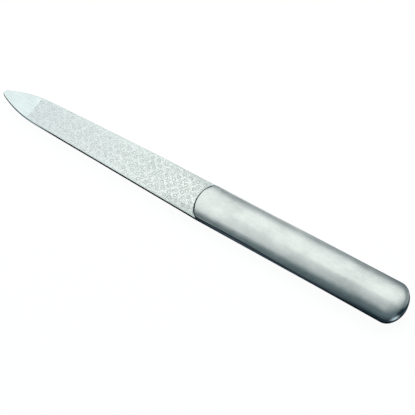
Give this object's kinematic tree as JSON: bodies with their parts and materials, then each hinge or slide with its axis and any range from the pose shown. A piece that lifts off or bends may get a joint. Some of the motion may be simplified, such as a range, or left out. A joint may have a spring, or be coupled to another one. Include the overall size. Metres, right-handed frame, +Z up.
{
  "type": "metal nail file",
  "caption": "Slim steel nail file: a flat tapering blade with a polished point and an abrasive coat on each face, and a rounded hollow handle pressed from half shells.",
  "frame": {"origin": "on the surface that the file lies on, under the middle of its overall length and width, below the lowest point of the lower handle shell", "axes": "+X along the file from the pointed tip to the butt of the handle, +Y across the blade, +Z up out of the coarse face"},
  "size_m": [0.175, 0.0168, 0.0083],
  "materials": {
    "blade_steel": "satin polished stainless steel, bright at the point",
    "coarse_grit": "matt plated abrasive with small ring-shaped teeth",
    "fine_grit": "matt plated abrasive, finer than the upper face",
    "handle_steel": "satin brushed stainless steel",
    "solder": "dull, dark joint line"
  },
  "bodies": {
    "root": {"file_blade": "blade_steel", "coarse_abrasive_coat": "coarse_grit", "fine_abrasive_coat": "fine_grit", "upper_handle_shell": "handle_steel", "lower_handle_shell": "handle_steel", "upper_solder_seam": "solder", "lower_solder_seam": "solder"}
  },
  "joints": []
}
